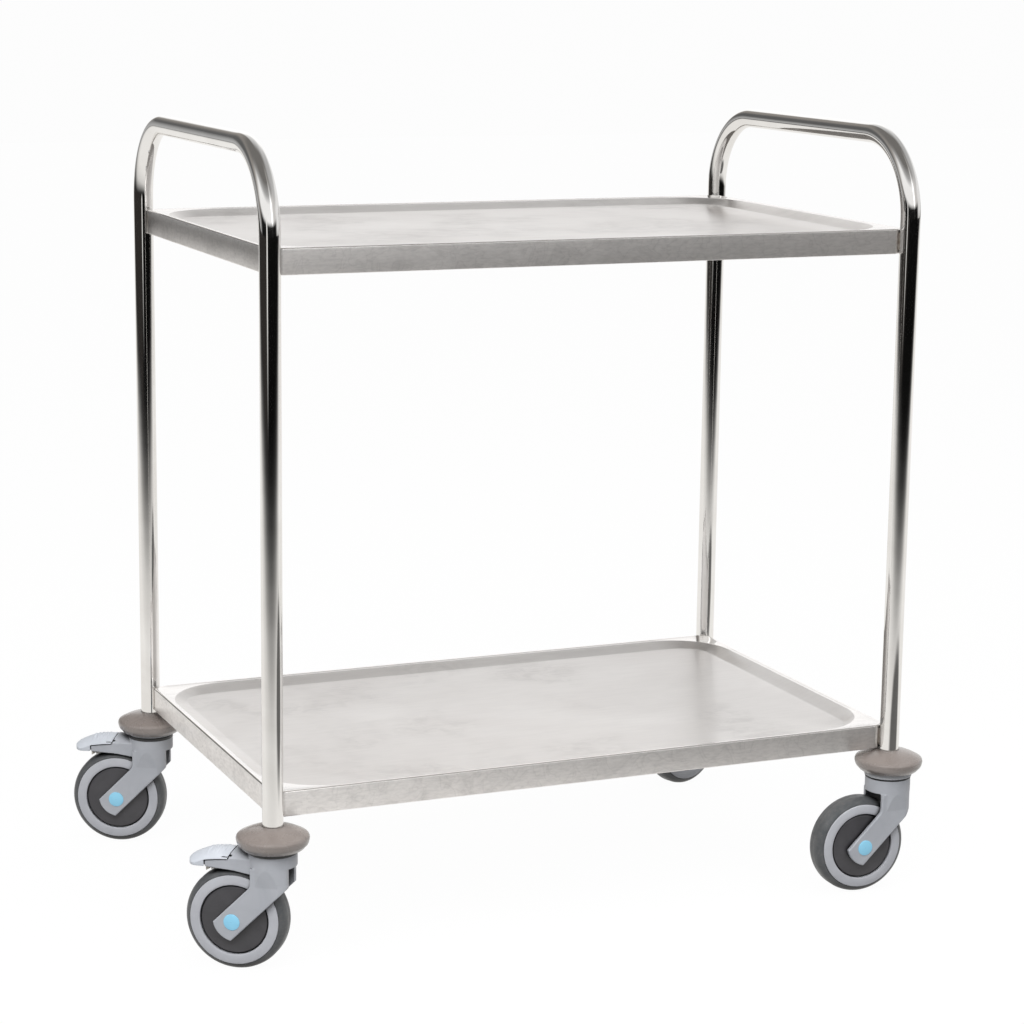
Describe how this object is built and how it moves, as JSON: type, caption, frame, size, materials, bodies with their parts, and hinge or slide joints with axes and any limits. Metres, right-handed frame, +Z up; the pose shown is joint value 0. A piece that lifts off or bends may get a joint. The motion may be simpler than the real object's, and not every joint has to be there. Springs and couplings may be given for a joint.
{
  "type": "serving cart",
  "caption": "Two-tier serving cart: pressed steel trays between bent tube end frames that rise into push handles, on swivel castors with bumper discs and braked castors at one end.",
  "frame": {"origin": "on the floor, midway between the four upright tubes", "axes": "+X along the cart to the right, away from the braked castors; +Y to the back, across the cart; +Z up"},
  "size_m": [0.9719, 0.6257, 0.977],
  "materials": {
    "frame_steel": "polished stainless steel tube",
    "tray_steel": "satin stainless sheet with faint smears",
    "bumper_rubber": "satin grey-brown rubber",
    "castor_plastic": "fine-textured light grey nylon",
    "pedal_plastic": "fine-textured pale grey nylon",
    "shoe_plastic": "off-white nylon",
    "black_plastic": "black nylon",
    "dark_plastic": "dark grey nylon",
    "core_plastic": "light grey nylon",
    "cap_plastic": "bright blue, plain",
    "tyre_rubber": "dark grey non-marking rubber",
    "zinc_steel": "bright zinc plate"
  },
  "bodies": {
    "cart": {"left_end_frame": "frame_steel", "right_end_frame": "frame_steel", "upper_tray": "tray_steel", "lower_tray": "tray_steel", "tube_expanders": "black_plastic", "bumper_lf": "bumper_rubber", "stem_lf": "zinc_steel", "collar_lf": "castor_plastic", "swivel_balls_lf": "zinc_steel", "bumper_lb": "bumper_rubber", "stem_lb": "zinc_steel", "collar_lb": "castor_plastic", "swivel_balls_lb": "zinc_steel", "bumper_rf": "bumper_rubber", "stem_rf": "zinc_steel", "collar_rf": "castor_plastic", "swivel_balls_rf": "zinc_steel", "bumper_rb": "bumper_rubber", "stem_rb": "zinc_steel", "collar_rb": "castor_plastic", "swivel_balls_rb": "zinc_steel"},
    "fork_lf": {"fork_lf": "castor_plastic", "axle_lf": "zinc_steel", "axle_caps_lf": "cap_plastic", "thread_guards_lf": "dark_plastic", "brake_pin_lf": "zinc_steel"},
    "wheel_lf": {"wheel_core_lf": "core_plastic", "wheel_bearings_lf": "zinc_steel", "tyre_lf": "tyre_rubber"},
    "brake_lf": {"brake_pedal_lf": "pedal_plastic", "brake_shoe_lf": "shoe_plastic"},
    "fork_lb": {"fork_lb": "castor_plastic", "axle_lb": "zinc_steel", "axle_caps_lb": "cap_plastic", "thread_guards_lb": "dark_plastic", "brake_pin_lb": "zinc_steel"},
    "wheel_lb": {"wheel_core_lb": "core_plastic", "wheel_bearings_lb": "zinc_steel", "tyre_lb": "tyre_rubber"},
    "brake_lb": {"brake_pedal_lb": "pedal_plastic", "brake_shoe_lb": "shoe_plastic"},
    "fork_rf": {"fork_rf": "castor_plastic", "axle_rf": "zinc_steel", "axle_caps_rf": "cap_plastic", "thread_guards_rf": "dark_plastic"},
    "wheel_rf": {"wheel_core_rf": "core_plastic", "wheel_bearings_rf": "zinc_steel", "tyre_rf": "tyre_rubber"},
    "fork_rb": {"fork_rb": "castor_plastic", "axle_rb": "zinc_steel", "axle_caps_rb": "cap_plastic", "thread_guards_rb": "dark_plastic"},
    "wheel_rb": {"wheel_core_rb": "core_plastic", "wheel_bearings_rb": "zinc_steel", "tyre_rb": "tyre_rubber"}
  },
  "joints": [
    {"name": "swivel_lf", "type": "hinge", "parent": "cart", "child": "fork_lf", "pos_m": [-0.416, -0.26, 0.1495], "axis": [0, 0, 1], "continuous": true},
    {"name": "wheel_spin_lf", "type": "hinge", "parent": "fork_lf", "child": "wheel_lf", "pos_m": [-0.45052, -0.23436, 0.0625], "axis": [-0.5962, -0.8028, 0], "continuous": true},
    {"name": "brake_press_lf", "type": "hinge", "parent": "fork_lf", "child": "brake_lf", "pos_m": [-0.4449, -0.23854, 0.134], "axis": [-0.5962, -0.8028, 0], "range_deg": [0, 3]},
    {"name": "swivel_lb", "type": "hinge", "parent": "cart", "child": "fork_lb", "pos_m": [-0.416, 0.26, 0.1495], "axis": [0, 0, 1], "continuous": true},
    {"name": "wheel_spin_lb", "type": "hinge", "parent": "fork_lb", "child": "wheel_lb", "pos_m": [-0.45375, 0.28058, 0.0625], "axis": [-0.4787, -0.878, 0], "continuous": true},
    {"name": "brake_press_lb", "type": "hinge", "parent": "fork_lb", "child": "brake_lb", "pos_m": [-0.44761, 0.27723, 0.134], "axis": [-0.4787, -0.878, 0], "range_deg": [0, 3]},
    {"name": "swivel_rf", "type": "hinge", "parent": "cart", "child": "fork_rf", "pos_m": [0.416, -0.26, 0.1495], "axis": [0, 0, 1], "continuous": true},
    {"name": "wheel_spin_rf", "type": "hinge", "parent": "fork_rf", "child": "wheel_rf", "pos_m": [0.37302, -0.25872, 0.0625], "axis": [-0.0297, -0.9996, 0], "continuous": true},
    {"name": "swivel_rb", "type": "hinge", "parent": "cart", "child": "fork_rb", "pos_m": [0.416, 0.26, 0.1495], "axis": [0, 0, 1], "continuous": true},
    {"name": "wheel_spin_rb", "type": "hinge", "parent": "fork_rb", "child": "wheel_rb", "pos_m": [0.37547, 0.24565, 0.0625], "axis": [0.3338, -0.9426, 0], "continuous": true}
  ]
}
